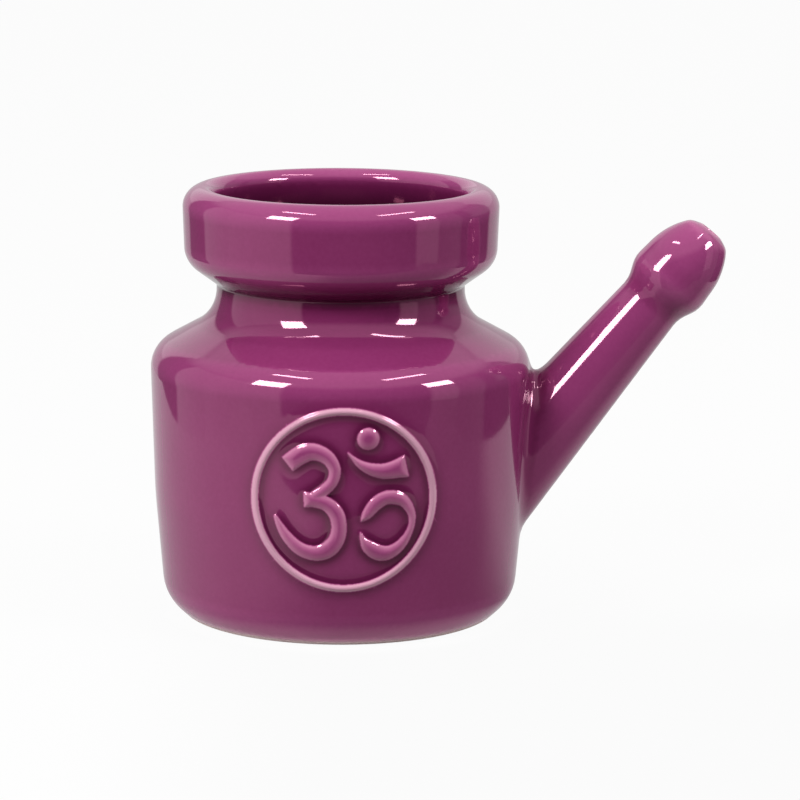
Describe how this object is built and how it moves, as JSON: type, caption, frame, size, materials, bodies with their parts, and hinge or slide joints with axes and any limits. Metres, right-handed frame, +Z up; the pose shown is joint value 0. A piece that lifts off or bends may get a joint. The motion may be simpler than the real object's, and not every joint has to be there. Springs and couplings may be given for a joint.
{
  "type": "neti pot",
  "caption": "Glazed ceramic neti pot with a waisted round body, open collar, slanted hollow spout with a bulb nozzle and a raised round emblem.",
  "frame": {"origin": "centre of the round foot, on the plane that the pot stands on", "axes": "+Z up along the body's axis, +X the side that the spout leans out to, -Y the front with the emblem"},
  "size_m": [0.1512, 0.1009, 0.1135],
  "materials": {
    "glaze": "glossy translucent plum glaze over a pale body, bare at the foot"
  },
  "bodies": {
    "root": {"pot": "glaze"}
  },
  "joints": []
}
